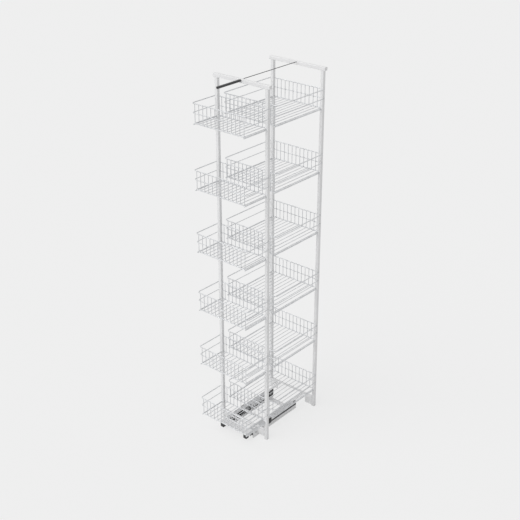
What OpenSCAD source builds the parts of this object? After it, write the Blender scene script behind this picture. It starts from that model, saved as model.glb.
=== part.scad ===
// Pull-out larder unit: two portals of square tube on a pair of roller runners, hung with six
// levels of wire baskets, one in front of each portal.
// Millimetres. X across the cabinet, -Y the pull-out direction, Z up from the cabinet floor.
// The origin is the middle of the footprint, at floor level.

/* [Frame] */
// Outside width over the uprights
frame_w = 304; // [290:1:400]
// Height of the frame's top above the floor
frame_h = 1798; // [1720:1:2100]
// Distance between the centre planes of the two portals
portal_gap = 380; // [370:1:440]
// Side of the square upright tube
tube = 16; // [14:0.5:20]
// Wall of the upright tube
tube_wall = 1.5; // [1:0.1:2.5]
// Running gap between the uprights and the floor
floor_gap = 2; // [1:0.5:5]
// Thickness of the plug's flange under each upright
plug_flange = 2; // [1:0.5:4]
// Height of the crossbar on top of each portal
bar_h = 16; // [12:1:24]
// How far a crossbar stands proud of the uprights in front and behind
bar_lip = 1; // [0:0.5:3]
// How far a crossbar reaches past the uprights at each side
bar_overhang = 8; // [0:1:12]

/* [Top arm] */
// Distance from the front portal's centre plane to the front end of the arm
arm_reach = 155; // [151:1:200]
// Width of the arm
arm_w = 9; // [8:0.5:20]
// Height of the arm
arm_h = 9; // [8:0.5:16]
// Radius of the threaded hole in the arm's front end
arm_hole_r = 2.5; // [2:0.25:4]
// Depth of the threaded hole
arm_hole_depth = 16; // [10:1:30]
// Diameter of the rod that ties the two crossbars
tie_rod_d = 3; // [3:0.5:8]

/* [Baskets] */
// Height of the first shelf above the floor
shelf_1 = 99; // [95:1:130]
// Height of the second shelf above the floor
shelf_2 = 393; // [260:1:500]
// Height of the third shelf above the floor
shelf_3 = 690; // [640:1:760]
// How far the fourth shelf lies below the frame's top
shelf_4 = 805; // [700:1:850]
// How far the fifth shelf lies below the frame's top
shelf_5 = 499; // [400:1:550]
// How far the sixth shelf lies below the frame's top
shelf_6 = 193; // [140:1:240]
// Height of a basket's rim above its shelf
basket_h = 94; // [60:1:100]
// Height of the middle wire above its shelf
mid_h = 49; // [30:1:52]
// Distance from the front portal's centre plane forward to the front baskets' front wall
front_basket_reach = 148; // [120:1:148]
// Distance from the front portal's centre plane back to the rear baskets' front wall
rear_basket_setback = 51; // [40:1:70]
// How far a front wall leans forward at its rim
wall_lean = 0; // [0:1:9]
// Gaps between the wires of a wall
wire_gaps = 12; // [6:2:16]
// How far a wall's outermost wires stand in from the frame's sides
edge_inset = 12; // [8:1:12]
// Diameter of the wires of the walls and floor
wire_d = 3; // [2:0.5:4]
// Diameter of the rim wire
rim_d = 4.5; // [4:0.5:6]
// Diameter of the wire at mid height
mid_d = 3.5; // [3:0.5:5]
// Diameter of the cross wires at the front and rear edge of a basket's floor
cross_d = 5; // [4:0.5:5.5]
// Diameter of the round shelf rails
rail_h = 6; // [6:0.5:8]
// How far welded wires sink into each other
weld = 0.6; // [0.4:0.1:0.8]

/* [Runners] */
// Distance between the centre lines of the two runners
runner_span = 153; // [120:1:165]
// Distance from the front portal's centre plane back to the middle of the slide rails
runner_setback = 119; // [110:1:125]
// Width of a runner
runner_w = 22; // [20:1:26]
// Length of the slide rail on top of each runner
slide_len = 320; // [310:1:340]
// Height of the base frame under the tracks
base_h = 15; // [12:1:18]
// Height of the runner above the base frame
runner_h = 35; // [29:0.5:38]
// Thickness of the sheet steel
sheet = 2; // [1.5:0.5:2.5]
// How far a track reaches past the slide rail at the rear
track_tail = 25; // [20:1:40]
// Length of the moulded block at each end of the middle carriage
end_block_len = 41; // [36:1:50]
// Length of the moulded block that holds the main roller
roller_block_len = 42; // [36:1:50]
// Distance from the carriage's front end to the main roller's block
roller_block_place = 123; // [110:1:140]
// Radius of the main roller's axle
axle_r = 3; // [2.5:0.5:4]
// Radius of the small rollers' axles
small_axle_r = 2.5; // [2:0.25:3]
// Radius of the small rollers
small_roller_r = 8; // [6:0.5:9]
// Width of a roller
roller_w = 6; // [4:0.5:7]
// Length of the part of the base frame in front of the black ribs
apron_len = 113; // [100:1:120]
// Length of a track stop
stop_len = 26; // [20:1:60]
// Height of the underside of a track's rib above the base frame
rib_lift = 6; // [2:0.5:8]
// Height of a track's rib
rib_h = 9; // [4:0.5:10]
// Height of the steel between the two slots of the carriage's slotted plate
slot_bar = 5; // [3:0.5:8]
// Side of a diamond hole in the carriage's other plate
diamond = 6; // [4:0.5:6.5]
// Height of the shaft of a plug in an upright
plug_h = 12; // [8:1:20]
// Width of the strips that join the runners
strip_d = 10; // [8:1:14]
// Radius of a guide button
button_r = 2.5; // [2:0.25:3]
// Distance from a track's front end to the first guide button
button_place = 20; // [10:1:30]
// Distance between a track's two guide buttons
button_pitch = 53; // [40:1:70]
// How far the front strip between the runners lies ahead of the front portal
strip_lead = 20; // [14:1:30]
// Distance between the two strips
strip_pitch = 85; // [60:1:120]

/* [Base] */
// Radius of the screw holes in the base frame
floor_hole_r = 2.5; // [2:0.25:4]
// Screw hole spacing across the unit
floor_hole_x = 90; // [60:1:100]
// Screw hole spacing along the unit
floor_hole_y = 290; // [240:1:300]
// Width of the straps that carry the screw holes
strap_d = 30; // [20:1:36]
// Depth of the front cross member
nose_d = 47; // [40:1:60]
// Height of the front cross member
nose_h = 10; // [8:1:24]
// Radius of the panel screw holes in the front cross member
nose_hole_r = 2.25; // [2:0.25:4]
// Spacing of the panel screw holes
nose_hole_x = 120; // [60:1:140]
// Depth of a buffer
buffer_d = 20; // [12:1:24]
// Height of a buffer below the front cross member
buffer_h = 23; // [4:1:26]

/* [Fits] */
// Gap between a rolling face and its track
roll_gap = 0.3; // [0.2:0.1:0.5]
// Radial clearance between a roller and its axle
axle_fit = 0.05; // [0.02:0.01:0.1]
// Gap between parts that slide past each other
slide_gap = 1; // [0.6:0.1:1.2]
// Clearance all round a plug or button in its hole
plug_fit = 0.1; // [0.05:0.05:0.2]
// Gap left between the walls, the floor's cross wires and the sides of a basket's hoops
seam = 0.1; // [0.05:0.05:0.2]

/* [Hidden] */
$fn = 48;

// Shelf heights: the lower three are set from the floor, the upper three from the frame's top
shelves = [shelf_1, shelf_2, shelf_3, frame_h - shelf_4, frame_h - shelf_5, frame_h - shelf_6];

// Frame: the back of the rear crossbar is the rearmost point
overall_d = arm_reach + portal_gap + tube / 2 + bar_lip;
front_y = arm_reach - overall_d / 2;
rear_y = front_y + portal_gap;
upright_x = (frame_w - tube) / 2;
inner_x = frame_w / 2 - tube;
bar_d = tube + 2 * bar_lip;
crossbar_w = frame_w + 2 * bar_overhang;
bar_z = frame_h - bar_h;

// Runner cross-section, for the right-hand runner, with X from its centre line
runner_x = runner_span / 2;
runner_y = front_y + runner_setback;
half_w = runner_w / 2;
runner_top = base_h + runner_h;
track_z = base_h + sheet;
slide_z = runner_top - sheet;
skirt_in = half_w - sheet;
web_out = skirt_in - 1.5 * slide_gap;
web_in = web_out - sheet;
web_top = slide_z - sheet - slide_gap;
block_out = web_in - slide_gap;
block_in = -half_w + sheet;
block_z0 = track_z + slide_gap;
block_z1 = slide_z - slide_gap;
block_mid = (block_z0 + block_z1) / 2;
plate_inset = 1;
plate_h = block_z1 - block_z0 - 2 * plate_inset;
rib_z = base_h + rib_lift;
rib_top = rib_z + rib_h;
skirt_z = rib_top + slide_gap;
upstand_t = 1.5;
upstand_in = half_w + slide_gap / 2;
upstand_out = upstand_in + upstand_t;
upstand_top = skirt_z + slide_gap;
stop_out = upstand_in + 3.5;
button_z = (rib_z + rib_top) / 2;
button_rim = 0.75;
button_head = 1;

// Places along Y on a runner, measured from the middle of the slide rail
slide_y0 = -slide_len / 2;
slide_y1 = slide_len / 2;
rail_lead = 3;
carriage_lag = 9;
carriage_tail = 3;
track_y0 = slide_y0 + rail_lead;
track_y1 = slide_y1 + track_tail;
track_mid = (track_y0 + track_y1) / 2;
apron_y = track_y0 + apron_len;
button_ys = [for (i = [0, 1]) track_y0 + button_place + i * button_pitch];
carriage_y0 = slide_y0 + carriage_lag;
carriage_y1 = track_y1 + carriage_tail;
front_block_end = carriage_y0 + end_block_len;
rear_block_start = carriage_y1 - end_block_len;
main_block_start = carriage_y0 + roller_block_place;
main_block_end = main_block_start + roller_block_len;
portal_line = -runner_setback;
strip_ys = [for (i = [0, 1]) portal_line - strip_lead + i * strip_pitch];

// Rollers: the main one fills the runner, the small ones run on the track alone
main_roller_r = (slide_z - track_z) / 2 - roll_gap;
main_roller_z = (slide_z + track_z) / 2;
small_roller_z = track_z + roll_gap + small_roller_r;
side_play = 0.5;
roller_x0 = block_in + side_play;
pocket_x1 = roller_x0 + roller_w + side_play;
pocket_gap = 0.6;

// Front cross member and its buffers
nose_w = runner_span + runner_w;
nose_y0 = slide_y0 - nose_d;
nose_z0 = runner_top - nose_h;

// Baskets, with Z from the shelf's height, the middle of its rails
edge_x = frame_w / 2 - edge_inset;
pitch = 2 * edge_x / wire_gaps;
hoop_end = edge_x + wire_d / 2;
rail_in = upright_x - rail_h / 2;
rail_top = rail_h / 2;
floor_z = rail_top + wire_d / 2;
floor_top = floor_z + wire_d / 2;
cross_z = floor_top - seam - cross_d / 2;
cross_out = (wire_d + cross_d) / 2 - weld;
rim_z = basket_h - rim_d / 2;
lean_angle = atan2(wall_lean, rim_z - floor_z);

white = [0.93, 0.93, 0.92];
silver = [0.78, 0.79, 0.80];
zinc = [0.62, 0.63, 0.64];
grey = [0.50, 0.51, 0.52];
black = [0.12, 0.12, 0.13];

// ---------- shared shapes ----------

// A block from its low corner to its high corner
module block(low, high) {
    translate(low) cube(high - low);
}

// A round rod along X
module rod_x(x0, x1, y, z, d) {
    translate([x0, y, z]) rotate([0, 90, 0]) cylinder(d = d, h = x1 - x0);
}

// A round rod along Y
module rod_y(y0, y1, x, z, d) {
    translate([x, y0, z]) rotate([-90, 0, 0]) cylinder(d = d, h = y1 - y0);
}

// How far forward a leaning wall stands at height z
function lean_at(z) = wall_lean * (z - floor_z) / (rim_z - floor_z);

// A wall wire that stands on a rail or floor wire at z0 and ends in the rim wire
module wall_wire(x, y, z0, angle) {
    foot = z0 + wire_d / 2 * sin(angle);
    top = rim_z - foot;
    translate([x, angle > 0 ? y - lean_at(foot) : y, foot])
        rotate([angle, 0, 0]) cylinder(d = wire_d, h = top / cos(angle));
}

// Puts a shape drawn for the right-hand runner in the right (1) or the left (-1) runner
module on_runner(side) {
    mirror([side < 0 ? 1 : 0, 0, 0]) translate([runner_x, runner_y, 0]) children();
}

// Mirrors its children to the left as well
module both_sides() {
    for (side = [-1, 1]) mirror([side < 0 ? 1 : 0, 0, 0]) children();
}

// ---------- cabinet side ----------

// A folded channel under one track, with the upstand that carries the guide buttons
module base_channel() {
    difference() {
        block([-half_w, track_y0, 0], [half_w, track_y1, base_h]);
        block([-half_w + sheet, track_y0 - 1, -1], [half_w - sheet, track_y1 + 1, base_h - sheet]);
    }
    block([half_w - sheet, track_y0, 0], [upstand_out, apron_y, base_h]);
    block([half_w - sheet, apron_y, 0], [half_w, track_y1, rib_z]);
    difference() {
        block([upstand_in, track_y0, base_h - sheet], [upstand_out, apron_y, upstand_top]);
        for (y = button_ys) rod_x(upstand_in - 1, upstand_out + 1, y, button_z, 2 * button_r);
    }
}

module base_frame() {
    strap_x = runner_x - half_w + sheet;
    color(white) {
        for (side = [-1, 1]) on_runner(side) base_channel();
        translate([0, runner_y + track_mid, 0]) for (y = [-1, 1] * floor_hole_y / 2) difference() {
            block([-strap_x, y - strap_d / 2, 0], [strap_x, y + strap_d / 2, sheet]);
            for (x = [-1, 1] * floor_hole_x / 2)
                translate([x, y, -1]) cylinder(r = floor_hole_r, h = sheet + 2);
        }
    }
}

// The black track: base, web and the outer rib that shows under the skirt
module floor_track(side) {
    color(black) on_runner(side) {
        block([block_in - 1, track_y0, base_h], [web_out, track_y1, track_z]);
        block([web_in, track_y0, base_h], [web_out, track_y1, web_top]);
        block([web_in, apron_y, rib_z], [half_w, track_y1, rib_top]);
    }
}

// The block at the front end of each track's rib, as high as the skirt that slides past it
module track_stops() {
    stop_y = apron_y + stop_len;
    color(black) for (side = [-1, 1]) on_runner(side) {
        block([half_w, apron_y, rib_z], [stop_out, stop_y, rib_top]);
        block([upstand_in, apron_y, rib_z], [stop_out, stop_y, runner_top - slide_gap]);
    }
}

// Nylon buttons that hold the upstand to the track's web, under the skirt's lower edge
module guide_buttons() {
    color(black) for (side = [-1, 1], y = button_ys) on_runner(side) {
        rod_x(web_out, upstand_out, y, button_z, 2 * (button_r - plug_fit));
        rod_x(upstand_out, upstand_out + button_head, y, button_z, 2 * (button_r + button_rim));
    }
}

// ---------- middle carriage ----------

// A moulded block with a pocket, open to the inner side, for one roller on a fixed pin
module roller_seat(y0, y1, roller_y, roller_z, roller_r, pin_r) {
    color(black) {
        difference() {
            block([block_in, y0, block_z0], [block_out, y1, block_z1]);
            rod_x(block_in - 1, pocket_x1, roller_y, roller_z, 2 * (roller_r + pocket_gap));
        }
        rod_x(block_in, pocket_x1 + 1, roller_y, roller_z, 2 * pin_r);
    }
}

module front_end_block(side) {
    on_runner(side) roller_seat(carriage_y0, front_block_end, (carriage_y0 + front_block_end) / 2,
        small_roller_z, small_roller_r, small_axle_r);
}

module rear_end_block(side) {
    on_runner(side) roller_seat(rear_block_start, carriage_y1, (rear_block_start + carriage_y1) / 2,
        small_roller_z, small_roller_r, small_axle_r);
}

module roller_block(side) {
    on_runner(side) roller_seat(main_block_start, main_block_end,
        (main_block_start + main_block_end) / 2, main_roller_z, main_roller_r, axle_r);
}

// The steel plate between two blocks of the carriage
module carriage_plate(y0, y1) {
    block([block_in, y0, block_z0 + plate_inset], [block_in + sheet, y1, block_z1 - plate_inset]);
}

// Plate with two long slots, one above the other
module slot_plate(side) {
    land = 5;
    edge = 2;
    slot_h = (plate_h - slot_bar) / 2 - edge;
    color(zinc) on_runner(side) difference() {
        carriage_plate(front_block_end, main_block_start);
        for (z = [block_mid - slot_bar / 2 - slot_h, block_mid + slot_bar / 2])
            block([block_in - 1, front_block_end + land, z],
                [block_in + sheet + 1, main_block_start - land, z + slot_h]);
    }
}

// Plate with three groups of diamond holes
module ball_plate(side) {
    step = 9;
    rise = plate_h / 5;
    groups = 3;
    group_step = (rear_block_start - main_block_end) / groups;
    color(zinc) on_runner(side) difference() {
        carriage_plate(main_block_end, rear_block_start);
        for (g = [0 : groups - 1], i = [-1 : 1])
            translate([block_in - 1, main_block_end + (g + 0.5) * group_step + i * step,
                block_mid + (i == 0 ? rise : -rise)])
                rotate([45, 0, 0]) translate([0, -diamond / 2, -diamond / 2])
                    cube([sheet + 2, diamond, diamond]);
    }
}

// A roller with a running bore and a ring groove in its face
module roller(side, y, z, r, pin_r) {
    groove = 0.8;
    hub_r = pin_r + 1.5;
    color(grey) on_runner(side) translate([roller_x0, y, z]) rotate([0, 90, 0]) difference() {
        cylinder(r = r, h = roller_w);
        translate([0, 0, -1]) cylinder(r = pin_r + axle_fit, h = roller_w + 2);
        translate([0, 0, -1]) difference() {
            cylinder(r = 0.75 * r, h = 1 + groove);
            cylinder(r = hub_r, h = 1 + groove);
        }
    }
}

module front_roller(side) {
    roller(side, (carriage_y0 + front_block_end) / 2, small_roller_z, small_roller_r, small_axle_r);
}

module main_roller(side) {
    roller(side, (main_block_start + main_block_end) / 2, main_roller_z, main_roller_r, axle_r);
}

module rear_roller(side) {
    roller(side, (rear_block_start + carriage_y1) / 2, small_roller_z, small_roller_r, small_axle_r);
}

// ---------- pull-out chassis ----------

module slide_rail(side) {
    color(zinc) on_runner(side)
        block([-half_w, slide_y0, slide_z], [half_w, slide_y1, runner_top]);
}

// White angle on the outer side of the slide rail
module side_skirt(side) {
    color(white) on_runner(side) {
        block([skirt_in, slide_y0, skirt_z], [half_w, slide_y1, slide_z]);
        block([web_in, slide_y0, slide_z - sheet], [half_w, slide_y1, slide_z]);
    }
}

// Folded box across the front of the two runners, open underneath
module front_cross_member() {
    color(white) translate([0, runner_y, 0]) difference() {
        block([-nose_w / 2, nose_y0, nose_z0], [nose_w / 2, slide_y0, runner_top]);
        block([-nose_w / 2 + sheet, nose_y0 + sheet, nose_z0 - 1],
            [nose_w / 2 - sheet, slide_y0 - sheet, runner_top - sheet]);
        for (x = [-1, 1] * nose_hole_x / 2)
            rod_y(nose_y0 - 1, nose_y0 + sheet + 1, x, nose_z0 + nose_h / 2, 2 * nose_hole_r);
    }
}

// Black blocks let into the front corners of the cross member, standing out below it
module buffers() {
    y0 = nose_y0 + sheet + plug_fit;
    color(black) for (side = [-1, 1]) on_runner(side)
        block([-half_w, y0, nose_z0 - buffer_h],
            [half_w - sheet - plug_fit, y0 + buffer_d, runner_top - sheet]);
}

// Flat strips that join the two slide rails
module cross_strips() {
    color(white) translate([0, runner_y, 0]) for (y = strip_ys)
        block([-nose_w / 2, y - strip_d / 2, runner_top],
            [nose_w / 2, y + strip_d / 2, runner_top + sheet]);
}

// A flat bridge over the runners, with a plate down each side between runner and upright
module foot_bridge(y, low) {
    plate_x = runner_x + stop_out + slide_gap;
    color(white) translate([0, y, 0]) {
        block([-inner_x, -tube / 2, runner_top], [inner_x, tube / 2, runner_top + sheet]);
        both_sides() block([plate_x, -tube / 2, low], [inner_x, -tube / 2 + sheet, runner_top]);
    }
}

// Flat bars from the slide rails back to the rear bridge
module tie_bars() {
    bar_w = runner_w - 6;
    color(white) for (side = [-1, 1]) on_runner(side)
        block([-bar_w / 2, slide_y1, slide_z],
            [bar_w / 2, rear_y + tube / 2 - runner_y, runner_top]);
}

// ---------- portals ----------

module upright(side, y) {
    foot = floor_gap + plug_flange;
    bore = tube - 2 * tube_wall;
    color(white) translate([side * upright_x, y, foot]) difference() {
        translate([-tube / 2, -tube / 2, 0]) cube([tube, tube, bar_z - foot]);
        translate([-bore / 2, -bore / 2, -1]) cube([bore, bore, bar_z]);
    }
}

// Plastic plugs that close the lower ends of the four uprights
module upright_plugs() {
    plug = tube - 2 * tube_wall - 2 * plug_fit;
    color(silver) for (x = [-1, 1] * upright_x, y = [front_y, rear_y]) translate([x, y, floor_gap]) {
        translate([-tube / 2, -tube / 2, 0]) cube([tube, tube, plug_flange]);
        translate([-plug / 2, -plug / 2, 0]) cube([plug, plug, plug_flange + plug_h]);
    }
}

module crossbar(y) {
    color(white)
        block([-crossbar_w / 2, y - bar_d / 2, bar_z], [crossbar_w / 2, y + bar_d / 2, frame_h]);
}

// Arm that reaches forward from the front crossbar to the front panel
module front_arm() {
    arm_y = front_y - arm_reach;
    color(black) difference() {
        block([-arm_w / 2, arm_y, frame_h - arm_h], [arm_w / 2, front_y - bar_d / 2, frame_h]);
        rod_y(arm_y - 1, arm_y + arm_hole_depth, 0, frame_h - arm_h / 2, 2 * arm_hole_r);
    }
}

module tie_rod() {
    color(black)
        rod_y(front_y + bar_d / 2, rear_y - bar_d / 2, 0, frame_h - tie_rod_d / 2, tie_rod_d);
}

// ---------- shelves ----------

// Round rails under both sides of one column of baskets, from front_wall to the uprights
module shelf_rails(front_wall, portal_y) {
    start = front_wall - cross_out - cross_d / 2;
    color(silver) for (z = shelves, side = [-1, 1])
        rod_y(start, portal_y - tube / 2, side * upright_x, z, rail_h);
}

// One side of a hoop: a round front corner, then straight back along the outside of the upright
module hoop_side(side, front, back, z, d) {
    x = frame_w / 2 + d / 2;
    r = x - hoop_end - seam;
    mirror([side < 0 ? 1 : 0, 0, 0]) {
        translate([x - r, front + r, z]) rotate([0, 0, -90])
            rotate_extrude(angle = 90) translate([r, 0]) circle(d = d);
        rod_y(front + r, back, x, z, d);
    }
}

// One wire basket. Its floor, front wall, rear wall and the sides of its hoops are separate.
module basket(front_wall, portal_y, shelf) {
    rim_y = front_wall - lean_at(rim_z);
    mid_y = front_wall - lean_at(mid_h);
    start = front_wall - wire_d / 2;
    inner = [for (i = [1 : wire_gaps - 1]) i * pitch - edge_x];
    edges = [-edge_x, edge_x];
    color(silver) translate([0, 0, shelf]) {
        // floor
        for (x = inner) rod_y(start, portal_y + wire_d / 2, x, floor_z, wire_d);
        for (x = edges) rod_y(start, portal_y - tube / 2, x, floor_z, wire_d);
        rod_x(-rail_in, rail_in, front_wall - cross_out, cross_z, cross_d);
        rod_x(-inner_x, inner_x, portal_y + cross_out, cross_z, cross_d);
        // front wall
        for (x = concat(inner, edges)) wall_wire(x, front_wall, floor_top, lean_angle);
        rod_x(-hoop_end, hoop_end, rim_y, rim_z, rim_d);
        rod_x(-hoop_end, hoop_end, mid_y, mid_h, mid_d);
        // rear wall, between the uprights
        for (x = inner) wall_wire(x, portal_y, floor_top, 0);
        rod_x(-inner_x, inner_x, portal_y, rim_z, rim_d);
        rod_x(-inner_x, inner_x, portal_y, mid_h, mid_d);
        // sides
        for (side = [-1, 1]) {
            hoop_side(side, rim_y, portal_y, rim_z, rim_d);
            hoop_side(side, mid_y, portal_y, mid_h, mid_d);
        }
    }
}

module front_basket(shelf) {
    basket(front_y - front_basket_reach, front_y, shelf);
}

module rear_basket(shelf) {
    basket(front_y + rear_basket_setback, rear_y, shelf);
}

base_frame();
floor_track(-1);  // floor_track_left
floor_track(1);  // floor_track_right
track_stops();
guide_buttons();
front_end_block(-1);  // front_end_block_left
slot_plate(-1);  // slot_plate_left
roller_block(-1);  // roller_block_left
ball_plate(-1);  // ball_plate_left
rear_end_block(-1);  // rear_end_block_left
front_end_block(1);  // front_end_block_right
slot_plate(1);  // slot_plate_right
roller_block(1);  // roller_block_right
ball_plate(1);  // ball_plate_right
rear_end_block(1);  // rear_end_block_right
front_roller(-1);  // front_roller_left
main_roller(-1);  // main_roller_left
rear_roller(-1);  // rear_roller_left
front_roller(1);  // front_roller_right
main_roller(1);  // main_roller_right
rear_roller(1);  // rear_roller_right
slide_rail(-1);  // slide_rail_left
slide_rail(1);  // slide_rail_right
side_skirt(-1);  // side_skirt_left
side_skirt(1);  // side_skirt_right
front_cross_member();
buffers();
cross_strips();
foot_bridge(front_y, track_z);  // front_foot_bridge
foot_bridge(rear_y, floor_gap + 4);  // rear_foot_bridge
tie_bars();
upright(-1, front_y);  // upright_front_left
upright(1, front_y);  // upright_front_right
upright(-1, rear_y);  // upright_rear_left
upright(1, rear_y);  // upright_rear_right
upright_plugs();
crossbar(front_y);  // front_crossbar
crossbar(rear_y);  // rear_crossbar
front_arm();
tie_rod();
shelf_rails(front_y - front_basket_reach, front_y);  // front_shelf_rails
shelf_rails(front_y + rear_basket_setback, rear_y);  // rear_shelf_rails
front_basket(shelves[0]);  // front_basket_1
front_basket(shelves[1]);  // front_basket_2
front_basket(shelves[2]);  // front_basket_3
front_basket(shelves[3]);  // front_basket_4
front_basket(shelves[4]);  // front_basket_5
front_basket(shelves[5]);  // front_basket_6
rear_basket(shelves[0]);  // rear_basket_1
rear_basket(shelves[1]);  // rear_basket_2
rear_basket(shelves[2]);  // rear_basket_3
rear_basket(shelves[3]);  // rear_basket_4
rear_basket(shelves[4]);  // rear_basket_5
rear_basket(shelves[5]);  // rear_basket_6
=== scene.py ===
"""Looks of the pull-out larder unit: finishes, bent wire baskets, rounded tubes and soft light.

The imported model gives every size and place. Each sub-assembly is a class that models its pieces
with Blender's own operators, in metres, and hangs them on the body that carries them.
"""

import logging
import math
from collections.abc import Callable, Iterator, Sequence
from contextlib import contextmanager
from dataclasses import dataclass, field
from enum import Enum

import bmesh
import bpy
from bmesh.types import BMEdge, BMFace
from bpy.types import Material, NodeSocket, Object, World
from mathutils import Matrix, Vector


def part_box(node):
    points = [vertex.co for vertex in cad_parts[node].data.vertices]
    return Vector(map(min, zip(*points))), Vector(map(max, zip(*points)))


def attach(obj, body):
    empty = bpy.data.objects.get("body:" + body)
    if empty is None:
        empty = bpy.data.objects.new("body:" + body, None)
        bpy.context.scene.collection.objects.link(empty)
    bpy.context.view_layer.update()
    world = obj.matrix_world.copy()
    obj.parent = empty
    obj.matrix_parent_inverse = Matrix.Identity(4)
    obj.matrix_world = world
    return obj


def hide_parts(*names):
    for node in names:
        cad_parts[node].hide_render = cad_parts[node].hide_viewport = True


MM = 0.001
X_AXIS = Vector((1, 0, 0))
Y_AXIS = Vector((0, 1, 0))
Z_AXIS = Vector((0, 0, 1))
LOG = logging.getLogger("larder_unit")

SHELVES = 6
RAIL_WIDTH = 6.0 * MM
ROD_SIDES = 20
# Least cosine for an edge or a face that counts as lying along an axis, and as looking its way
PARALLEL = 0.999
FACING = 0.9
# Vertices closer than this are one, and faces within this many degrees are one flat face
MERGE = 0.002 * MM
FLAT_ANGLE = 0.6

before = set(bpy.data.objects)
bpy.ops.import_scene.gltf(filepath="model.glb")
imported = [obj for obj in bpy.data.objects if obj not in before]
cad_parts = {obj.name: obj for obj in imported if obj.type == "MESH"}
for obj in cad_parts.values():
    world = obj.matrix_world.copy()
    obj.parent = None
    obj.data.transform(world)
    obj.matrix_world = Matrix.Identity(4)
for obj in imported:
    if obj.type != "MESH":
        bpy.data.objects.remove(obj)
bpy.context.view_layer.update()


class Slot(Enum):
    """The record's material slots."""

    WHITE = "white_paint"
    WIRE = "silver_wire"
    BLACK = "black_paint"
    ZINC = "zinc_steel"
    MOULDED = "black_plastic"
    NYLON = "grey_nylon"
    PLUG = "plug_plastic"


class Side(Enum):
    """The two runners."""

    LEFT = -1
    RIGHT = 1

    @property
    def word(self) -> str:
        """The side's name as the nodes spell it."""
        return self.name.lower()


BASE = "cabinet_base"
PULL_OUT = "pull_out_frame"


# ---------- materials ----------


class Signal:
    """A number, vector or colour on its way through a material's nodes.

    Arithmetic on numbers adds Math nodes, so a mask is written as an expression.
    """

    def __init__(self, graph: "Nodes", socket: NodeSocket) -> None:
        """Wraps one output socket of a graph."""
        self.graph = graph
        self.socket = socket

    def _math(self, operation: str, first: "Signal | float", second: "Signal | float") -> "Signal":
        """Adds one Math node with two inputs."""
        return self.graph.node("ShaderNodeMath", {"operation": operation}, {0: first, 1: second})

    def __add__(self, other: "Signal | float") -> "Signal":
        """Sum."""
        return self._math("ADD", self, other)

    def __mul__(self, other: "Signal | float") -> "Signal":
        """Product."""
        return self._math("MULTIPLY", self, other)

    def __or__(self, other: "Signal") -> "Signal":
        """The larger of two masks."""
        return self._math("MAXIMUM", self, other)

    def ramp(self, low: float, high: float) -> "Signal":
        """A smooth step from 0 at low to 1 at high."""
        settings = {"interpolation_type": "SMOOTHSTEP"}
        return self.graph.node("ShaderNodeMapRange", settings, {0: self, 1: low, 2: high})


class Nodes:
    """The nodes of a material or a world."""

    def __init__(self, owner: Material | World) -> None:
        """Takes over the owner's node tree."""
        owner.use_nodes = True
        self.tree = owner.node_tree

    def node(self, kind: str, settings: dict, sockets: dict, output: int | str = 0) -> Signal:
        """Adds a node, sets it up and feeds it.

        Args:
            kind: The node's type.
            settings: Its properties, such as a Math node's operation, set first.
            sockets: Its inputs by name or number, each a value or a Signal.
            output: The output wanted, by name or number.

        Returns:
            The node's output as a Signal.
        """
        made = self.tree.nodes.new(kind)
        for name, value in settings.items():
            setattr(made, name, value)
        for key, value in sockets.items():
            self.feed(made.inputs[key], value)
        return Signal(self, made.outputs[output])

    def feed(self, socket: NodeSocket, value: object) -> None:
        """Links a Signal to a socket, or sets the socket to a plain value."""
        if isinstance(value, Signal):
            self.tree.links.new(value.socket, socket)
        else:
            socket.default_value = value

    def seen(self) -> Signal:
        """1 on the rays that show the surroundings: camera, glossy and transmission rays."""
        camera, glossy, through = (self.node("ShaderNodeLightPath", {}, {}, f"Is {kind} Ray")
                                   for kind in ("Camera", "Glossy", "Transmission"))
        return camera | glossy | through


class Graph(Nodes):
    """One material with a Principled shader and the nodes that feed it."""

    def __init__(self, name: str) -> None:
        """Starts a material of that name.

        Args:
            name: The material's name in plain words.
        """
        self.material = bpy.data.materials.new(name)
        super().__init__(self.material)
        self.shader = self.tree.nodes["Principled BSDF"]
        self.place = self.node("ShaderNodeTexCoord", {}, {}, "Object")

    def noise(self, size: float, detail: float = 2.0, stretch: Sequence[float] = (1, 1, 1)) -> Signal:
        """Noise with features of a given size.

        Args:
            size: Size of a feature, in metres.
            detail: Octaves of finer noise.
            stretch: Scale of the pattern along X, Y and Z.

        Returns:
            A number that varies about 0.5.
        """
        place = self.node("ShaderNodeMapping", {}, {"Vector": self.place, "Scale": stretch})
        sockets = {"Vector": place, "Scale": 1 / size, "Detail": detail}
        return self.node("ShaderNodeTexNoise", {}, sockets)

    def tint(self, mask: Signal, colour: Sequence[float], dark: float, light: float) -> Signal:
        """A colour that varies in brightness.

        Args:
            mask: Where it is dark (0) and where it is light (1).
            colour: The colour.
            dark: Its brightness at 0.
            light: Its brightness at 1.

        Returns:
            The colour as a Signal.
        """
        sockets = {0: mask, 6: shade(colour, dark), 7: shade(colour, light)}
        return self.node("ShaderNodeMix", {"data_type": "RGBA"}, sockets, 2)

    def bump(self, height: Signal, depth: float, strength: float) -> None:
        """Feeds the shader's normal from a height.

        Args:
            height: The height, from 0 to 1.
            depth: What a height of 1 stands for, in metres.
            strength: Share of the effect that is used.
        """
        sockets = {"Height": height, "Distance": depth, "Strength": strength}
        self.wire(Normal=self.node("ShaderNodeBump", {}, sockets))

    def wire(self, **sockets: object) -> None:
        """Feeds the shader's sockets, named with underscores for spaces."""
        for name, value in sockets.items():
            self.feed(self.shader.inputs[name.replace("_", " ")], value)


def shade(colour: Sequence[float], factor: float) -> tuple[float, float, float, float]:
    """A colour made lighter or darker, with full opacity."""
    return (*(min(channel * factor, 1.0) for channel in colour), 1.0)


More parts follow.
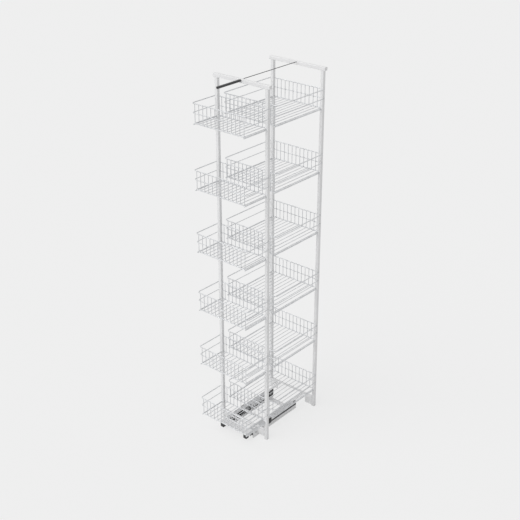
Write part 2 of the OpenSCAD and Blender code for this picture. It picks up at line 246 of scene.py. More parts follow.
@dataclass(frozen=True)
class PowderCoat:
    """Baked paint on steel, with the faint orange peel of a sprayed powder."""

    name: str
    colour: tuple[float, float, float]
    least_rough: float = 0.36
    rough_spread: float = 0.12
    cloud: float = 90 * MM
    peel: float = 1.6 * MM
    peel_depth: float = 0.03 * MM
    drift: float = 0.02
    gloss: float = 0.12

    def material(self) -> Material:
        """Builds the node material."""
        graph = Graph(self.name)
        cloud = graph.noise(self.cloud, 3.0).ramp(0.35, 0.65)
        fine = graph.noise(self.peel, 1.0)
        paint = graph.tint(cloud, self.colour, 1 - self.drift, 1 + self.drift)
        graph.wire(Base_Color=paint, IOR=1.5, Coat_Weight=self.gloss, Coat_Roughness=0.25)
        graph.wire(Roughness=fine * self.rough_spread + self.least_rough)
        graph.bump(fine, self.peel_depth, 0.5)
        return graph.material


@dataclass(frozen=True)
class SilverWire:
    """Drawn wire with a thin silver-grey coat whose tone varies at random in soft patches."""

    name: str
    colour: tuple[float, float, float]
    metal: float = 0.62
    least_rough: float = 0.29
    rough_spread: float = 0.14
    cloud: float = 22 * MM
    grain: float = 0.9 * MM
    grain_depth: float = 0.02 * MM

    def material(self) -> Material:
        """Builds the node material."""
        graph = Graph(self.name)
        cloud = graph.noise(self.cloud, 3.0).ramp(0.3, 0.7)
        fine = graph.noise(self.grain, 2.0)
        graph.wire(Base_Color=graph.tint(cloud, self.colour, 0.9, 1.06), Metallic=self.metal)
        graph.wire(Roughness=fine * self.rough_spread + self.least_rough)
        graph.bump(fine, self.grain_depth, 0.4)
        return graph.material


@dataclass(frozen=True)
class RolledZinc:
    """Zinc-plated strip with rolling lines along Y and a soft bloom."""

    name: str
    colour: tuple[float, float, float]
    metal: float = 0.9
    least_rough: float = 0.22
    line: float = 0.5 * MM
    line_stretch: float = 0.012
    line_depth: float = 0.01 * MM
    line_share: float = 0.45
    bloom: float = 14 * MM

    def material(self) -> Material:
        """Builds the node material."""
        graph = Graph(self.name)
        lines = graph.noise(self.line, 2.0, (1, self.line_stretch, 1))
        bloom = graph.noise(self.bloom, 3.0).ramp(0.35, 0.68)
        mask = lines.ramp(0.3, 0.7) * self.line_share + bloom * (1 - self.line_share)
        graph.wire(Base_Color=graph.tint(mask, self.colour, 0.84, 1.1), Metallic=self.metal)
        graph.wire(Roughness=bloom * 0.14 + lines * 0.1 + self.least_rough)
        graph.bump(lines, self.line_depth, 0.35)
        return graph.material


@dataclass(frozen=True)
class MouldedPlastic:
    """Injection-moulded plastic with a fine spark-eroded grain."""

    name: str
    colour: tuple[float, float, float]
    least_rough: float = 0.42
    grain: float = 0.35 * MM
    grain_depth: float = 0.03 * MM
    rough_spread: float = 0.16
    flow: float = 18 * MM

    def material(self) -> Material:
        """Builds the node material."""
        graph = Graph(self.name)
        fine = graph.noise(self.grain, 2.0)
        flow = graph.noise(self.flow, 2.0).ramp(0.35, 0.65)
        graph.wire(Base_Color=graph.tint(flow, self.colour, 0.88, 1.12), IOR=1.46)
        graph.wire(Roughness=fine * self.rough_spread + self.least_rough)
        graph.bump(fine, self.grain_depth, 0.5)
        return graph.material


FINISHES = {
    Slot.WHITE: PowderCoat("white powder coat", (0.865, 0.865, 0.87)),
    Slot.WIRE: SilverWire("silver-coated wire", (0.69, 0.70, 0.715)),
    Slot.BLACK: PowderCoat("black powder coat", (0.034, 0.034, 0.036), 0.44),
    Slot.ZINC: RolledZinc("zinc-plated strip", (0.62, 0.625, 0.635)),
    Slot.MOULDED: MouldedPlastic("black moulding", (0.034, 0.034, 0.036)),
    Slot.NYLON: MouldedPlastic("grey nylon", (0.33, 0.335, 0.34), 0.34, 0.6 * MM),
    Slot.PLUG: MouldedPlastic("pale grey plug", (0.55, 0.55, 0.56), 0.37),
}


class Finisher:
    """Hands out each slot's material, made once, and fits finished pieces to their bodies."""

    def __init__(self) -> None:
        """Builds every finish."""
        self.materials = {slot: finish.material() for slot, finish in FINISHES.items()}

    def fit(self, piece: Object, slot: Slot, body: str, *nodes: str) -> Object:
        """Dresses a piece, hangs it on its body and hides the nodes that it stands for.

        Args:
            piece: The finished mesh.
            slot: The finish that it takes.
            body: The body that carries it.
            *nodes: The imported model's nodes that the piece replaces.

        Returns:
            The piece.
        """
        piece.data.materials.clear()
        piece.data.materials.append(self.materials[slot])
        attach(piece, body)
        if nodes:
            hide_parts(*nodes)
        LOG.info("%s on %s, %d faces", piece.name, body, len(piece.data.polygons))
        return piece


# ---------- the bench: small modelling moves ----------


def pick(*objects: Object) -> None:
    """Selects only these objects, with the first one active."""
    bpy.ops.object.select_all(action="DESELECT")
    for one in objects:
        one.select_set(True)
    bpy.context.view_layer.objects.active = objects[0]


@contextmanager
def editing(piece: Object, kind: str = "VERT") -> Iterator[None]:
    """Puts one piece in edit mode with nothing selected, and leaves edit mode at the end."""
    pick(piece)
    bpy.ops.object.mode_set(mode="EDIT")
    bpy.ops.mesh.select_mode(type=kind)
    bpy.ops.mesh.select_all(action="DESELECT")
    yield
    bpy.ops.object.mode_set(mode="OBJECT")


def select_faces(piece: Object, test: Callable[[BMFace], bool]) -> None:
    """Selects the faces that pass a test, in edit mode."""
    bpy.ops.mesh.select_all(action="DESELECT")
    mesh = bmesh.from_edit_mesh(piece.data)
    for face in mesh.faces:
        face.select_set(test(face))
    bmesh.update_edit_mesh(piece.data)


def select_edges(piece: Object, test: Callable[[BMEdge], bool]) -> None:
    """Selects the edges that pass a test, in edit mode."""
    bpy.ops.mesh.select_all(action="DESELECT")
    mesh = bmesh.from_edit_mesh(piece.data)
    for edge in mesh.edges:
        edge.select_set(test(edge))
    bmesh.update_edit_mesh(piece.data)


def runs_along(axis: Vector) -> Callable[[BMEdge], bool]:
    """A test for edges that run along an axis."""

    def test(edge: BMEdge) -> bool:
        """Whether the edge lies along the axis."""
        line = (edge.verts[1].co - edge.verts[0].co).normalized()
        return abs(line.dot(axis)) > PARALLEL

    return test


def faces_along(axis: Vector) -> Callable[[BMFace], bool]:
    """A test for faces whose normal is along an axis, either way."""

    def test(face: BMFace) -> bool:
        """Whether the face looks along the axis."""
        return abs(face.normal.dot(axis)) > PARALLEL

    return test


def settle(name: str) -> Object:
    """Names the newest primitive and moves its place into its mesh."""
    piece = bpy.context.active_object
    piece.name = name
    piece.data.name = name
    bpy.ops.object.transform_apply(location=True, rotation=True, scale=True)
    return piece


def cuboid(name: str, low: Vector, high: Vector) -> Object:
    """A block between two corners, as a start for shaping."""
    bpy.ops.object.select_all(action="DESELECT")
    low, high = Vector(low), Vector(high)
    bpy.ops.mesh.primitive_cube_add(size=1, location=(low + high) / 2, scale=high - low)
    return settle(name)


def disc(name: str, centre: Vector, axis: Vector, radius: float, depth: float, sides: int) -> Object:
    """A round bar about an axis, as a start for shaping."""
    bpy.ops.object.select_all(action="DESELECT")
    turn = Vector(axis).to_track_quat("Z", "Y").to_euler()
    bpy.ops.mesh.primitive_cylinder_add(
        vertices=sides, radius=radius, depth=depth, location=centre, rotation=turn)
    return settle(name)


def soften(piece: Object, width: float, segments: int = 2, angle: float = 30.0) -> Object:
    """Rounds every edge sharper than an angle and smooths the shading.

    Args:
        piece: The mesh to finish.
        width: Width of the rounding, in metres.
        segments: Facets across the rounding.
        angle: The least angle that counts as an edge, in degrees.

    Returns:
        The piece.
    """
    pick(piece)
    bpy.ops.object.shade_smooth()
    bpy.ops.object.modifier_add(type="BEVEL")
    bevel = piece.modifiers[-1]
    bevel.width = width
    bevel.segments = segments
    bevel.limit_method = "ANGLE"
    bevel.angle_limit = math.radians(angle)
    bpy.ops.object.modifier_apply(modifier=bevel.name)
    return flatten_shading(piece)


def flatten_shading(piece: Object) -> Object:
    """Weighs the shading by face size, so that flat faces look flat beside their roundings."""
    pick(piece)
    bpy.ops.object.modifier_add(type="WEIGHTED_NORMAL")
    weighted = piece.modifiers[-1]
    weighted.weight = 100
    bpy.ops.object.modifier_apply(modifier=weighted.name)
    return piece


def repeat(piece: Object, count: int, step: Vector) -> Object:
    """Lays out copies of a piece in a row, in one mesh."""
    pick(piece)
    bpy.ops.object.modifier_add(type="ARRAY")
    row = piece.modifiers[-1]
    row.count = count
    row.use_relative_offset = False
    row.use_constant_offset = True
    row.constant_offset_displace = step
    bpy.ops.object.modifier_apply(modifier=row.name)
    return piece


def twin(piece: Object, step: Vector, name: str = "") -> Object:
    """A copy of a piece with its own mesh, moved by a step."""
    pick(piece)
    bpy.ops.object.duplicate()
    bpy.ops.transform.translate(value=step)
    return settle(name or piece.name)


def join(name: str, pieces: Sequence[Object]) -> Object:
    """Joins pieces into one object of that name."""
    pick(*pieces)
    if len(pieces) > 1:
        bpy.ops.object.join()
    return settle(name)


def cut(piece: Object, tool: Object) -> None:
    """Cuts a tool out of a piece and removes the tool."""
    pick(piece)
    bpy.ops.object.modifier_add(type="BOOLEAN")
    knife = piece.modifiers[-1]
    knife.operation = "DIFFERENCE"
    knife.object = tool
    bpy.ops.object.modifier_apply(modifier=knife.name)
    pick(tool)
    bpy.ops.object.delete()


def rounded_bar(name: str, low: Vector, high: Vector, axis: Vector, corner: float, end: float) -> Object:
    """A bar with round long edges and eased ends.

    Args:
        name: The piece's name.
        low: Its lowest corner.
        high: Its highest corner.
        axis: The way that it runs.
        corner: Radius of its long edges.
        end: Rounding of its two ends.

    Returns:
        The bar.
    """
    bar = cuboid(name, low, high)
    with editing(bar, "EDGE"):
        select_edges(bar, runs_along(axis))
        bpy.ops.mesh.bevel(offset=corner, offset_type="OFFSET", segments=4, affect="EDGES")
    return soften(bar, end, 2, 50)


def softened(node: str, name: str, radius: float, segments: int = 2) -> Object:
    """A copy of a node with its facets merged and its edges rounded.

    Args:
        node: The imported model's node.
        name: The copy's name.
        radius: Width of the edge rounding, in metres.
        segments: Facets across the rounding.

    Returns:
        The copy, free of the frame's marks.
    """
    pick(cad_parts[node])
    bpy.ops.object.duplicate()
    piece = bpy.context.active_object
    piece.parent = None
    piece.matrix_world = Matrix.Identity(4)
    for key in list(piece.keys()):
        del piece[key]
    piece.name = name
    with editing(piece):
        bpy.ops.mesh.select_all(action="SELECT")
        bpy.ops.mesh.remove_doubles(threshold=MERGE)
        bpy.ops.mesh.dissolve_limited(angle_limit=math.radians(FLAT_ANGLE))
    return soften(piece, radius, segments)


class Wire:
    """A round wire, drawn by sweeping a ring of points along straights and bends."""

    def __init__(self, name: str, radius: float, at: Vector, heading: Vector, sides: int = 12) -> None:
        """Starts a wire.

        Args:
            name: Its name.
            radius: Its radius.
            at: Where it starts.
            heading: The way that it sets off.
            sides: Points round the ring.
        """
        self.at = Vector(at)
        self.heading = Vector(heading).normalized()
        bpy.ops.object.select_all(action="DESELECT")
        turn = self.heading.to_track_quat("Z", "Y").to_euler()
        bpy.ops.mesh.primitive_circle_add(
            vertices=sides, radius=radius, location=self.at, rotation=turn)
        self.piece = settle(name)
        bpy.ops.object.mode_set(mode="EDIT")
        bpy.ops.mesh.select_mode(type="EDGE")
        bpy.ops.mesh.select_all(action="SELECT")

    def run(self, length: float) -> "Wire":
        """Goes straight on."""
        step = self.heading * length
        bpy.ops.mesh.extrude_region_move(TRANSFORM_OT_translate={"value": step})
        self.at += step
        return self

    def bend(self, axis: Vector, radius: float, degrees: float = 90.0, steps: int = 6) -> "Wire":
        """Turns about an axis, by the right-hand rule.

        Args:
            axis: The axis, square to the heading.
            radius: Radius of the bend's centre line.
            degrees: How far it turns.
            steps: Facets along the bend.

        Returns:
            The wire.
        """
        axis = Vector(axis)
        centre = self.at + axis.cross(self.heading) * radius
        angle = math.radians(degrees)
        bpy.ops.mesh.spin(steps=steps, angle=-angle, center=centre, axis=axis)
        turn = Matrix.Rotation(angle, 3, axis)
        self.at = centre + turn @ (self.at - centre)
        self.heading = turn @ self.heading
        return self

    def finish(self) -> Object:
        """Closes both ends and hands over the piece."""
        bpy.ops.mesh.select_all(action="SELECT")
        bpy.ops.mesh.remove_doubles(threshold=MERGE)
        bpy.ops.mesh.fill_holes(sides=0)
        bpy.ops.mesh.select_all(action="SELECT")
        bpy.ops.mesh.normals_make_consistent(inside=False)
        bpy.ops.object.mode_set(mode="OBJECT")
        bpy.ops.object.shade_smooth_by_angle(angle=math.radians(50))
        return self.piece


# ---------- sub-assemblies ----------


def shelf_rises(column: str) -> list[float]:
    """How far each shelf above the lowest one lies above it, in metres."""
    heights = [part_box(f"{column}_basket_{level}")[0].z for level in range(1, SHELVES + 1)]
    return [height - heights[0] for height in heights[1:]]


@dataclass
class WireBasket:
    """One column of wire baskets: floor wires bent up at both ends, held by hoops and cross wires."""

    column: str
    gaps: int = 12
    wire: float = 3.0 * MM
    rim: float = 4.5 * MM
    middle: float = 3.5 * MM
    carrier: float = 5.0 * MM
    weld: float = 0.6 * MM
    hoop_weld: float = 0.72 * MM
    seam: float = 0.1 * MM
    bend: float = 3.0 * MM
    edge_inset: float = 12.0 * MM
    middle_rise: float = 48.1 * MM
    carrier_angle: float = math.radians(33)
    dome_share: float = 0.35
    bead_share: float = 0.62
    bead_length: float = 1.15
    bead_sink: float = 0.55
    bead_drop: float = 0.3
    low_bead_flat: float = 0.7

    def __post_init__(self) -> None:
        """Works out the lowest basket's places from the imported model.

        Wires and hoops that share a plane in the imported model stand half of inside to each
        side of it here, so that they cross without running through each other.
        """
        low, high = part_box(f"{self.column}_basket_1")
        post_low, post_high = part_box(f"upright_{self.column}_right")
        self.inside = (self.rim + self.wire) / 2 - self.hoop_weld
        margin = (self.wire + self.carrier) / 2 - self.weld + self.carrier / 2 - self.inside / 2
        self.front_y, self.rear_y = low.y + margin, high.y - margin
        self.side, self.inner = post_high.x, post_low.x
        self.post_y, self.portal_y = post_low.y, (post_low.y + post_high.y) / 2
        self.edge_x = self.side - self.edge_inset
        self.pitch = 2 * self.edge_x / self.gaps
        self.rail_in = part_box(f"{self.column}_shelf_rails")[1].x - RAIL_WIDTH
        self.floor_z = low.z + self.carrier + self.seam - self.wire / 2
        self.rim_z = high.z - self.rim / 2
        self.middle_z = low.z + self.middle_rise

    def upright_wire(self, x: float, tail: float) -> Wire:
        """Starts a wire at the front rim, takes it down the wall and back along the floor.

        Args:
            x: Its place across the basket.
            tail: Length of its run along the floor, from the wall.

        Returns:
            The wire, still open.
        """
        top = Vector((x, self.front_y + self.inside, self.rim_z))
        path = Wire("wire", self.wire / 2, top, -Z_AXIS)
        path.run(self.rim_z - self.floor_z - self.bend).bend(X_AXIS, self.bend)
        return path.run(tail - self.bend)

    def floor_wires(self) -> Object:
        """The wires that make floor, front wall and rear wall in one piece each."""
        length = self.rear_y - self.front_y - 2 * self.inside - self.bend
        path = self.upright_wire(self.pitch - self.edge_x, length)
        path.bend(X_AXIS, self.bend).run(self.rim_z - self.floor_z - self.bend)
        return repeat(path.finish(), self.gaps - 1, X_AXIS * self.pitch)

    def corner_wires(self) -> list[Object]:
        """The upright wire at each front corner, turned back along the floor to the upright."""
        tail = self.post_y - self.front_y - self.inside
        first = self.upright_wire(-self.edge_x, tail).finish()
        return [first, twin(first, X_AXIS * 2 * self.edge_x)]

    def hoop(self, radius: float, height: float) -> Object:
        """A wire along the outside of one upright, round the front and back along the other."""
        side = self.side + radius
        corner = side - self.edge_x - self.wire / 2
        length = self.portal_y - self.front_y - corner
        path = Wire("hoop", radius, Vector((-side, self.portal_y, height)), -Y_AXIS)
        path.run(length).bend(Z_AXIS, corner)
        path.run(2 * (side - corner)).bend(Z_AXIS, corner)
        return path.run(length).finish()

    def cross_wire(self, radius: float, half: float, y: float, z: float) -> Object:
        """A straight wire across the basket, with domed ends."""
        dome = self.dome_share * radius
        path = Wire("cross wire", radius, Vector((-half + dome, y, z)), X_AXIS)
        end = path.run(2 * (half - dome)).finish()
        with editing(end, "FACE"):
            select_faces(end, lambda face: abs(face.calc_center_median().x) > half - 2 * dome
                         and abs(face.normal.x) > FACING)
            bpy.ops.mesh.inset(thickness=dome, depth=dome)
        return end

    def round_bend(self, reach: float, rear: bool) -> tuple[float, float]:
        """A place outside the lower bend of the front or the rear wall's wires.

        Args:
            reach: Distance from the middle of the wire.
            rear: True for the rear wall.

        Returns:
            The place along the basket and its height.
        """
        out = self.bend + reach
        back = self.inside + self.bend - out * math.cos(self.carrier_angle)
        height = self.floor_z + self.bend - out * math.sin(self.carrier_angle)
        return (self.rear_y - back if rear else self.front_y + back), height

    def beads(self, y: float, z: float, flat: float = 1.0) -> Object:
        """A row of weld beads, one on each floor wire.

        Args:
            y: Place along the basket.
            z: Height.
            flat: Height of a bead over its width.

        Returns:
            The row.
        """
        bpy.ops.object.select_all(action="DESELECT")
        size = self.bead_share * self.wire
        place = Vector((self.pitch - self.edge_x, y, z))
        bpy.ops.mesh.primitive_uv_sphere_add(
            segments=8, ring_count=5, radius=size, location=place,
            scale=(self.bead_length, 1, flat))
        bead = settle("bead")
        bpy.ops.object.shade_smooth()
        return repeat(bead, self.gaps - 1, X_AXIS * self.pitch)

    def weld_beads(self) -> list[Object]:
        """The beads where the floor wires cross the rims, the middle wires and the cross wires."""
        rows = []
        touch = self.inside * self.bead_sink
        drop = self.bead_drop * self.wire
        for height in (self.rim_z, self.middle_z):
            rows.append(self.beads(self.front_y + touch, height - drop))
            rows.append(self.beads(self.rear_y - touch, height - drop))
        for rear in (False, True):
            rows.append(self.beads(*self.round_bend(self.wire / 2, rear), self.low_bead_flat))
        return rows

    def lowest(self) -> Object:
        """The whole basket on the lowest shelf."""
        parts = [self.floor_wires(), *self.corner_wires()]
        for width, height in ((self.rim, self.rim_z), (self.middle, self.middle_z)):
            parts.append(self.hoop(width / 2, height))
            parts.append(self.cross_wire(width / 2, self.inner, self.rear_y, height))
        reach = (self.wire + self.carrier) / 2 - self.weld
        for rear, half in ((False, self.rail_in), (True, self.inner)):
            parts.append(self.cross_wire(self.carrier / 2, half, *self.round_bend(reach, rear)))
        return join(f"{self.column}_wire_basket_1", parts + self.weld_beads())

    def build(self, finisher: Finisher) -> None:
        """Models the lowest basket and copies it to every shelf."""
        baskets = [self.lowest()]
        for level, rise in enumerate(shelf_rises(self.column), start=2):
            name = f"{self.column}_wire_basket_{level}"
            baskets.append(twin(baskets[0], Z_AXIS * rise, name))
        for level, basket in enumerate(baskets, start=1):
            finisher.fit(basket, Slot.WIRE, PULL_OUT, f"{self.column}_basket_{level}")


@dataclass
class ShelfRails:
    """The round rails under both sides of one column of baskets."""

    column: str
    dome: float = 1.0 * MM

    def rail(self) -> Object:
        """The right-hand rail on the lowest shelf, with a domed front end."""
        low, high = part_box(f"{self.column}_shelf_rails")
        radius = RAIL_WIDTH / 2
        start = Vector((high.x - radius, low.y + self.dome, low.z + radius))
        rail = Wire("rail", radius, start, Y_AXIS, ROD_SIDES).run(high.y - start.y).finish()
        with editing(rail, "FACE"):
            select_faces(rail, lambda face: face.normal.y < -FACING)
            bpy.ops.mesh.inset(thickness=self.dome, depth=self.dome)
        return rail

    def build(self, finisher: Finisher) -> None:
        """Models one rail and copies it to both sides and every shelf."""
        right = self.rail()
        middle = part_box(f"{self.column}_shelf_rails")[1].x - RAIL_WIDTH / 2
        pair = [right, twin(right, X_AXIS * -2 * middle)]
        rods = list(pair)
        for rise in shelf_rises(self.column):
            rods += [twin(one, Z_AXIS * rise) for one in pair]
        rails = join(f"{self.column}_rail_bars", rods)
        finisher.fit(rails, Slot.WIRE, PULL_OUT, f"{self.column}_shelf_rails")


@dataclass
class Portal:
    """One portal: two square tubes with a bar across their tops."""

    column: str
    wall: float = 1.5 * MM
    corner: float = 2.2 * MM
    bar_corner: float = 2.0 * MM
    cap_rim: float = 1.6 * MM
    cap_sink: float = 0.4 * MM
    cap_wall: float = 0.15 * MM
    cap_edge: float = 0.12 * MM
    tube_edge: float = 0.25 * MM

    def tube(self, side: Side) -> Object:
        """An upright: a square tube with round edges."""
        low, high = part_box(f"upright_{self.column}_{side.word}")
        bpy.ops.object.select_all(action="DESELECT")
        centre = Vector(((low.x + high.x) / 2, (low.y + high.y) / 2, low.z))
        bpy.ops.mesh.primitive_plane_add(size=high.x - low.x, location=centre)
        tube = settle(f"{self.column}_{side.word}_tube")
        with editing(tube):
            bpy.ops.mesh.select_all(action="SELECT")
            bpy.ops.mesh.bevel(offset=self.corner, offset_type="OFFSET", segments=5, affect="VERTICES")
            bpy.ops.mesh.select_mode(type="FACE")
            bpy.ops.mesh.select_all(action="SELECT")
            bpy.ops.mesh.inset(thickness=self.wall)
            bpy.ops.mesh.delete(type="FACE")
            bpy.ops.mesh.select_all(action="SELECT")
            rise = Z_AXIS * (high.z - low.z)
            bpy.ops.mesh.extrude_region_move(TRANSFORM_OT_translate={"value": rise})
            bpy.ops.mesh.select_all(action="SELECT")
            bpy.ops.mesh.normals_make_consistent(inside=False)
        return soften(tube, self.tube_edge, 2, 60)

    def crossbar(self) -> Object:
        """The bar on top, with a cap let into each end."""
        node = f"{self.column}_crossbar"
        low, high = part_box(node)
        bar = cuboid(f"{self.column}_top_bar", low, high)
        with editing(bar, "EDGE"):
            select_edges(bar, runs_along(X_AXIS))
            bpy.ops.mesh.bevel(offset=self.bar_corner, offset_type="OFFSET", segments=4, affect="EDGES")
            bpy.ops.mesh.select_mode(type="FACE")
            select_faces(bar, faces_along(X_AXIS))
            bpy.ops.mesh.inset(thickness=self.cap_rim)
            bpy.ops.mesh.inset(thickness=self.cap_wall, depth=-self.cap_sink)
        return soften(bar, self.cap_edge, 2, 50)

    def build(self, finisher: Finisher) -> None:
        """Models both uprights and the crossbar."""
        for side in Side:
            node = f"upright_{self.column}_{side.word}"
            finisher.fit(self.tube(side), Slot.WHITE, PULL_OUT, node)
        finisher.fit(self.crossbar(), Slot.WHITE, PULL_OUT, f"{self.column}_crossbar")


@dataclass
class TopArm:
    """The black arm to the front panel, and the rod between the crossbars."""

    nut: float = 4.4 * MM
    nut_edge: float = 0.3 * MM
    arm_edge: float = 0.9 * MM

    def build(self, finisher: Finisher) -> None:
        """Models the arm and the rod."""
        arm = softened("front_arm", "panel_arm", self.arm_edge, 3)
        finisher.fit(arm, Slot.BLACK, PULL_OUT, "front_arm")
        low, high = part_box("tie_rod")
        radius = (high.z - low.z) / 2
        at = Vector((0, low.y, (low.z + high.z) / 2))
        rod = Wire("rod", radius, at, Y_AXIS, ROD_SIDES).run(high.y - low.y).finish()
        nuts = []
        for y in (low.y + self.nut / 2, high.y - self.nut / 2):
            nut = disc("nut", Vector((0, y, at.z)), Y_AXIS, radius, self.nut, 6)
            nuts.append(soften(nut, self.nut_edge, 2))
        finisher.fit(join("crossbar_rod", [rod, *nuts]), Slot.BLACK, PULL_OUT, "tie_rod")


@dataclass
class Roller:
    """A turned nylon roller with a hub and a ring groove."""

    name: str
    side: Side
    groove: float = 0.8 * MM
    hub: float = 1.6 * MM
    main_bore: float = 3.05 * MM
    small_bore: float = 2.55 * MM
    tread_share: float = 0.22
    flank: float = 0.3 * MM
    edge: float = 0.35 * MM

    def build(self, finisher: Finisher) -> None:
        """Models the roller about its own axis."""
        node = f"{self.name}_{self.side.word}"
        low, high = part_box(node)
        radius = (high.z - low.z) / 2
        bore = self.main_bore if self.name == "main_roller" else self.small_bore
        web = (1 - self.tread_share) * radius - 2 * self.flank - bore - self.hub
        wheel = disc(f"{node}_wheel", (low + high) / 2, X_AXIS, radius, high.x - low.x, 48)
        with editing(wheel, "FACE"):
            select_faces(wheel, faces_along(X_AXIS))
            bpy.ops.mesh.inset(thickness=self.tread_share * radius)
            bpy.ops.mesh.inset(thickness=self.flank, depth=-self.groove)
            bpy.ops.mesh.inset(thickness=web)
            bpy.ops.mesh.inset(thickness=self.flank, depth=self.groove)
            bpy.ops.mesh.inset(thickness=self.hub)
            bpy.ops.mesh.bridge_edge_loops()
        finisher.fit(soften(wheel, self.edge, 2), Slot.NYLON, node, node)


@dataclass
class MiddleCarriage:
    """The rolling carriage of one runner: three moulded blocks and two plates."""

    side: Side
    pocket: float = 7.0 * MM
    pocket_share: float = 0.62
    pocket_depth: float = 2.2 * MM
    pocket_margin: float = 1.5 * MM
    pocket_corner: float = 1.0 * MM
    pocket_edge: float = 0.1 * MM
    edge: float = 0.45 * MM
    plate_edge: float = 0.3 * MM

    def block(self, node: str) -> Object:
        """A moulded block with a lightening pocket on each side of its roller."""
        piece = softened(node, f"{node}_moulding", self.edge)
        low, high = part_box(node)
        inner = high.x if self.side is Side.LEFT else low.x
        reach = self.pocket_depth
        middle = (low.z + high.z) / 2
        half_h = self.pocket_share * (high.z - low.z) / 2
        margin = self.pocket_margin + self.pocket / 2
        for y in (low.y + margin, high.y - margin):
            start = Vector((inner - reach, y - self.pocket / 2, middle - half_h))
            end = Vector((inner + reach, y + self.pocket / 2, middle + half_h))
            cut(piece, rounded_bar("pocket", start, end, X_AXIS, self.pocket_corner, self.pocket_edge))
        return piece

    def build(self, finisher: Finisher) -> None:
        """Models the blocks and plates of one carriage."""
        word = self.side.word
        body = f"middle_carriage_{word}"
        for stem in ("front_end_block", "rear_end_block"):
            node = f"{stem}_{word}"
            finisher.fit(self.block(node), Slot.MOULDED, body, node)
        node = f"roller_block_{word}"
        moulding = softened(node, f"{node}_moulding", self.edge)
        finisher.fit(moulding, Slot.MOULDED, body, node)
        for stem in ("slot_plate", "ball_plate"):
            node = f"{stem}_{word}"
            plate = softened(node, f"{node}_sheet", self.plate_edge)
            finisher.fit(plate, Slot.ZINC, body, node)


@dataclass
class Chassis:
    """The sheet-metal parts that join the runners to the portals."""

    fold: float = 0.5 * MM
    strip: float = 10.0 * MM
    screw_r: float = 3.2 * MM
    screw_h: float = 1.5 * MM
    screw_edge: float = 0.6 * MM
    socket_share: float = 0.5
    socket_depth: float = 1.6 * MM
    buffer_edge: float = 1.6 * MM
    plug_edge: float = 0.5 * MM

    def screw(self, centre: Vector, axis: Vector) -> Object:
        """A low pan-head screw with a hexagon socket, standing on a face."""
        head = disc("screw", Vector(centre) + Vector(axis) * self.screw_h / 2, axis,
                    self.screw_r, self.screw_h, 24)
        soften(head, self.screw_edge, 3)
        socket = disc("socket", Vector(centre) + Vector(axis) * self.screw_h, axis,
                      self.socket_share * self.screw_r, self.socket_depth, 6)
        cut(head, socket)
        return head

    def screws(self) -> Object:
        """The screws that hold the strips and the front bridge to the slide rails."""
        heads = []
        strip_low, strip_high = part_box("cross_strips")
        bridge_low, bridge_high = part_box("front_foot_bridge")
        half = self.strip / 2
        rows = (strip_low.y + half, strip_high.y - half, (bridge_low.y + bridge_high.y) / 2)
        for side in Side:
            rail_low, rail_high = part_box(f"slide_rail_{side.word}")
            x = (rail_low.x + rail_high.x) / 2
            heads += [self.screw(Vector((x, y, strip_high.z)), Z_AXIS) for y in rows]
        return join("chassis_screws", heads)

    def build(self, finisher: Finisher) -> None:
        """Models every sheet-metal part and its screws."""
        for side in Side:
            word = side.word
            skirt = softened(f"side_skirt_{word}", f"{word}_skirt_sheet", self.fold)
            finisher.fit(skirt, Slot.WHITE, PULL_OUT, f"side_skirt_{word}")
            rail = softened(f"slide_rail_{word}", f"{word}_slide_strip", self.fold)
            finisher.fit(rail, Slot.ZINC, PULL_OUT, f"slide_rail_{word}")
        parts = {"front_cross_member": "nose_box", "cross_strips": "joining_strips",
                 "front_foot_bridge": "front_bridge_plate", "rear_foot_bridge": "rear_bridge_plate",
                 "tie_bars": "rear_tie_strips"}
        for node, name in parts.items():
            finisher.fit(softened(node, name, self.fold), Slot.WHITE, PULL_OUT, node)
        buffers = softened("buffers", "corner_buffers", self.buffer_edge, 4)
        finisher.fit(buffers, Slot.MOULDED, PULL_OUT, "buffers")
        plugs = softened("upright_plugs", "foot_plugs", self.plug_edge)
        finisher.fit(plugs, Slot.PLUG, PULL_OUT, "upright_plugs")
        finisher.fit(self.screws(), Slot.ZINC, PULL_OUT)


@dataclass
class CabinetBase:
    """The part that stays on the cabinet floor: base frame, tracks, stops and buttons."""

    fold: float = 0.5 * MM
    track_edge: float = 0.4 * MM
    stop_edge: float = 0.9 * MM
    button_edge: float = 0.3 * MM

    def build(self, finisher: Finisher) -> None:
        """Models the parts that are screwed down."""
        base = softened("base_frame", "base_channels", self.fold)
        finisher.fit(base, Slot.WHITE, BASE, "base_frame")
        for side in Side:
            node = f"floor_track_{side.word}"
            track = softened(node, f"{side.word}_track_strip", self.track_edge)
            finisher.fit(track, Slot.BLACK, BASE, node)
        stops = softened("track_stops", "stop_mouldings", self.stop_edge, 3)
        finisher.fit(stops, Slot.MOULDED, BASE, "track_stops")
        buttons = softened("guide_buttons", "nylon_buttons", self.button_edge, 3)
        finisher.fit(buttons, Slot.MOULDED, BASE, "guide_buttons")


# ---------- studio ----------


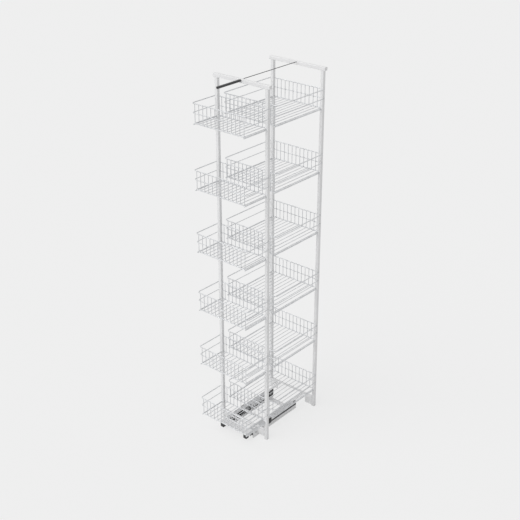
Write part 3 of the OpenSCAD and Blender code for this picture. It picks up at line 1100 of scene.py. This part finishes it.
@dataclass
class Studio:
    """A plain pale floor, soft light and the photograph's camera."""

    backdrop: float = 0.863
    floor_albedo: float = 0.85
    floor_glow: float = 0.895
    shadow_share: float = 0.2
    sky: float = 0.49
    sun: float = 1.5
    sun_angle: float = 50.0
    sun_from: tuple[float, float, float] = (-0.2, -0.62, 0.76)
    camera_at: tuple[float, float, float] = (2.6951, -3.15335, 2.9480)
    camera_turn: tuple[float, float, float] = (63.711, 0.0, 40.506)
    lens: float = 67.86
    film: float = 36.0
    sight: float = 200.0
    floor_reach: float = 60.0

    def camera(self) -> None:
        """Stands the camera where the photograph was taken from."""
        turn = [math.radians(angle) for angle in self.camera_turn]
        bpy.ops.object.camera_add(location=self.camera_at, rotation=turn)
        camera = bpy.context.active_object
        camera.data.lens = self.lens
        camera.data.sensor_width = self.film
        camera.data.clip_end = self.sight
        bpy.context.scene.camera = camera

    def floor(self) -> None:
        """Lays a pale floor that lights the unit from below and shows only a faint shadow."""
        bpy.ops.mesh.primitive_plane_add(size=self.floor_reach)
        floor = settle("studio_floor")
        graph = Graph("studio floor")
        grey = (self.floor_albedo, self.floor_albedo, self.floor_albedo, 1)
        graph.wire(Base_Color=grey, Roughness=1.0, Specular_IOR_Level=0.0)
        lit = Signal(graph, graph.shader.outputs[0])
        glow = graph.node("ShaderNodeEmission", {}, {"Strength": self.floor_glow})
        share = graph.seen() * (1 - self.shadow_share)
        surface = graph.node("ShaderNodeMixShader", {}, {0: share, 1: lit, 2: glow})
        graph.feed(graph.tree.nodes["Material Output"].inputs["Surface"], surface)
        floor.data.materials.append(graph.material)

    def light(self) -> None:
        """Sets the world and one broad lamp from the front left."""
        world = bpy.data.worlds.new("studio")
        bpy.context.scene.world = world
        nodes = Nodes(world)
        fill = nodes.tree.nodes["Background"]
        nodes.feed(fill.inputs["Color"], (1, 1, 1, 1))
        nodes.feed(fill.inputs["Strength"], nodes.seen() * (self.backdrop - self.sky) + self.sky)
        aim = Vector(self.sun_from).to_track_quat("Z", "Y").to_euler()
        bpy.ops.object.light_add(type="SUN", rotation=aim)
        lamp = bpy.context.active_object.data
        lamp.energy = self.sun
        lamp.angle = math.radians(self.sun_angle)

    def build(self) -> None:
        """Sets up camera, floor, light and the plain view transform."""
        bpy.context.scene.view_settings.view_transform = "Standard"
        self.camera()
        self.floor()
        self.light()


@dataclass
class LarderUnit:
    """The whole unit, in the order in which it would be put together."""

    finisher: Finisher = field(default_factory=Finisher)

    def assemblies(self) -> list:
        """Every sub-assembly of the unit."""
        parts = [CabinetBase(), Chassis(), TopArm()]
        for side in Side:
            parts.append(MiddleCarriage(side))
            parts += [Roller(name, side) for name in ("front_roller", "main_roller", "rear_roller")]
        for column in ("front", "rear"):
            parts += [Portal(column), ShelfRails(column), WireBasket(column)]
        return parts

    def build(self) -> None:
        """Models and dresses every sub-assembly."""
        for part in self.assemblies():
            part.build(self.finisher)


def main() -> None:
    """Builds the studio and the unit."""
    logging.basicConfig(level=logging.INFO, format="%(name)s: %(message)s")
    Studio().build()
    LarderUnit().build()


if __name__ == "__main__":
    main()
